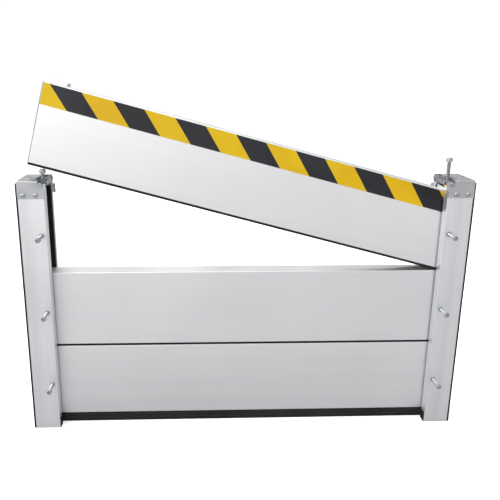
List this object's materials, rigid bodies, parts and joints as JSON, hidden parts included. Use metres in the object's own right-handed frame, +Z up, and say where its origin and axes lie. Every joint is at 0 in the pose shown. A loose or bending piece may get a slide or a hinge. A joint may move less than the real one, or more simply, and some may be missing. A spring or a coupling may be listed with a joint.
{
  "type": "demountable flood barrier",
  "caption": "Demountable flood barrier: channel posts with end clamps hold stacked hollow aluminium planks; the striped top plank is tilted, half fitted.",
  "frame": {"origin": "middle of the opening, on the planks' mid plane, at floor level on the underside of the floor seal", "axes": "+X along the planks to the right post, -Y towards the clamp screws (front), +Z up"},
  "size_m": [1.113, 0.1459, 0.8971],
  "materials": {
    "post": "natural anodised extrusion",
    "plank": "satin anodised extrusion",
    "cap": "bead-blasted stainless sheet",
    "seal": "black EPDM",
    "fastener": "bright zinc plating",
    "bar": "zinc plated steel",
    "plug": "moulded grey plastic",
    "pad": "turned brass",
    "tape": "glossy vinyl with slanting bands"
  },
  "bodies": {
    "posts": {"left_post": "post", "left_wall_gasket": "seal", "left_rear_seal": "seal", "left_foot_seal": "seal", "left_post_cap": "cap", "left_cap_screws": "fastener", "left_screw_bushes": "bar", "right_post": "post", "right_wall_gasket": "seal", "right_rear_seal": "seal", "right_foot_seal": "seal", "right_post_cap": "cap", "right_cap_screws": "fastener", "right_screw_bushes": "bar"},
    "bottom_plank": {"bottom_plank": "plank", "bottom_plank_end_caps": "plug", "floor_seal": "seal"},
    "middle_plank": {"middle_plank": "plank", "middle_plank_end_caps": "plug", "middle_joint_seal": "seal"},
    "top_plank": {"top_plank": "plank", "top_plank_end_caps": "plug", "top_joint_seal": "seal", "press_blocks": "plank", "hazard_tape": "tape"},
    "left_clamp_bar": {"left_clamp_bar": "bar"},
    "left_press_foot": {"left_press_foot": "pad"},
    "left_press_bolt": {"left_press_bolt": "fastener"},
    "left_bottom_pad": {"left_bottom_pad": "pad"},
    "left_bottom_screw": {"left_bottom_screw": "fastener"},
    "left_middle_pad": {"left_middle_pad": "pad"},
    "left_middle_screw": {"left_middle_screw": "fastener"},
    "left_top_pad": {"left_top_pad": "pad"},
    "left_top_screw": {"left_top_screw": "fastener"},
    "right_clamp_bar": {"right_clamp_bar": "bar"},
    "right_press_foot": {"right_press_foot": "pad"},
    "right_press_bolt": {"right_press_bolt": "fastener"},
    "right_bottom_pad": {"right_bottom_pad": "pad"},
    "right_bottom_screw": {"right_bottom_screw": "fastener"},
    "right_middle_pad": {"right_middle_pad": "pad"},
    "right_middle_screw": {"right_middle_screw": "fastener"},
    "right_top_pad": {"right_top_pad": "pad"},
    "right_top_screw": {"right_top_screw": "fastener"}
  },
  "joints": [
    {"name": "bottom_plank_shift", "type": "slide", "parent": "posts", "child": "bottom_plank", "axis": [1, 0, 0], "range_m": [-0.012, 0.012]},
    {"name": "middle_plank_shift", "type": "slide", "parent": "posts", "child": "middle_plank", "axis": [1, 0, 0], "range_m": [-0.012, 0.012]},
    {"name": "top_plank_tilt", "type": "hinge", "parent": "posts", "child": "top_plank", "pos_m": [0.54397, 0, 0.61705], "axis": [0, 1, 0], "range_deg": [0, 3]},
    {"name": "left_clamp_swing", "type": "hinge", "parent": "posts", "child": "left_clamp_bar", "pos_m": [-0.4955, 0, 0.652], "axis": [0, -1, 0], "range_deg": [0, 20]},
    {"name": "left_foot_slide", "type": "slide", "parent": "left_clamp_bar", "child": "left_press_foot", "axis": [0, 0, 1], "range_m": [-0.01, 0]},
    {"name": "left_bolt_turn", "type": "hinge", "parent": "left_press_foot", "child": "left_press_bolt", "pos_m": [-0.4955, -0.024, 0.652], "axis": [0, 0, 1], "range_deg": [-2405, 5]},
    {"name": "left_bottom_pad_slide", "type": "slide", "parent": "posts", "child": "left_bottom_pad", "axis": [0, 1, 0], "range_m": [-0.002, 0.0004]},
    {"name": "left_bottom_screw_turn", "type": "hinge", "parent": "left_bottom_pad", "child": "left_bottom_screw", "pos_m": [-0.5015, -0.055, 0.1265], "axis": [0, 1, 0], "range_deg": [-581, 120.2]},
    {"name": "left_middle_pad_slide", "type": "slide", "parent": "posts", "child": "left_middle_pad", "axis": [0, 1, 0], "range_m": [-0.002, 0.0004]},
    {"name": "left_middle_screw_turn", "type": "hinge", "parent": "left_middle_pad", "child": "left_middle_screw", "pos_m": [-0.5015, -0.055, 0.3265], "axis": [0, 1, 0], "range_deg": [-581, 120.2]},
    {"name": "left_top_pad_slide", "type": "slide", "parent": "posts", "child": "left_top_pad", "axis": [0, 1, 0], "range_m": [-0.002, 0.0004]},
    {"name": "left_top_screw_turn", "type": "hinge", "parent": "left_top_pad", "child": "left_top_screw", "pos_m": [-0.5015, -0.055, 0.5265], "axis": [0, 1, 0], "range_deg": [-581, 120.2]},
    {"name": "right_clamp_swing", "type": "hinge", "parent": "posts", "child": "right_clamp_bar", "pos_m": [0.4955, 0, 0.652], "axis": [0, 1, 0], "range_deg": [-60, 20]},
    {"name": "right_foot_slide", "type": "slide", "parent": "right_clamp_bar", "child": "right_press_foot", "axis": [0, 0, 1], "range_m": [-0.0015, 0]},
    {"name": "right_bolt_turn", "type": "hinge", "parent": "right_press_foot", "child": "right_press_bolt", "pos_m": [0.4955, -0.024, 0.652], "axis": [0, 0, 1], "range_deg": [-365, 5]},
    {"name": "right_bottom_pad_slide", "type": "slide", "parent": "posts", "child": "right_bottom_pad", "axis": [0, 1, 0], "range_m": [-0.002, 0.0004]},
    {"name": "right_bottom_screw_turn", "type": "hinge", "parent": "right_bottom_pad", "child": "right_bottom_screw", "pos_m": [0.5015, -0.055, 0.1265], "axis": [0, 1, 0], "range_deg": [-581, 120.2]},
    {"name": "right_middle_pad_slide", "type": "slide", "parent": "posts", "child": "right_middle_pad", "axis": [0, 1, 0], "range_m": [-0.002, 0.0004]},
    {"name": "right_middle_screw_turn", "type": "hinge", "parent": "right_middle_pad", "child": "right_middle_screw", "pos_m": [0.5015, -0.055, 0.3265], "axis": [0, 1, 0], "range_deg": [-581, 120.2]},
    {"name": "right_top_pad_slide", "type": "slide", "parent": "posts", "child": "right_top_pad", "axis": [0, 1, 0], "range_m": [-0.002, 0.0004]},
    {"name": "right_top_screw_turn", "type": "hinge", "parent": "right_top_pad", "child": "right_top_screw", "pos_m": [0.5015, -0.055, 0.5265], "axis": [0, 1, 0], "range_deg": [-581, 120.2]}
  ],
  "couplings": [
    {"joint": "left_bolt_turn", "follows": "left_foot_slide", "rad_per_m": 4188.8},
    {"joint": "left_bottom_screw_turn", "follows": "left_bottom_pad_slide", "rad_per_m": 5026.5},
    {"joint": "left_middle_screw_turn", "follows": "left_middle_pad_slide", "rad_per_m": 5026.5},
    {"joint": "left_top_screw_turn", "follows": "left_top_pad_slide", "rad_per_m": 5026.5},
    {"joint": "right_bolt_turn", "follows": "right_foot_slide", "rad_per_m": 4188.8},
    {"joint": "right_bottom_screw_turn", "follows": "right_bottom_pad_slide", "rad_per_m": 5026.5},
    {"joint": "right_middle_screw_turn", "follows": "right_middle_pad_slide", "rad_per_m": 5026.5},
    {"joint": "right_top_screw_turn", "follows": "right_top_pad_slide", "rad_per_m": 5026.5}
  ]
}
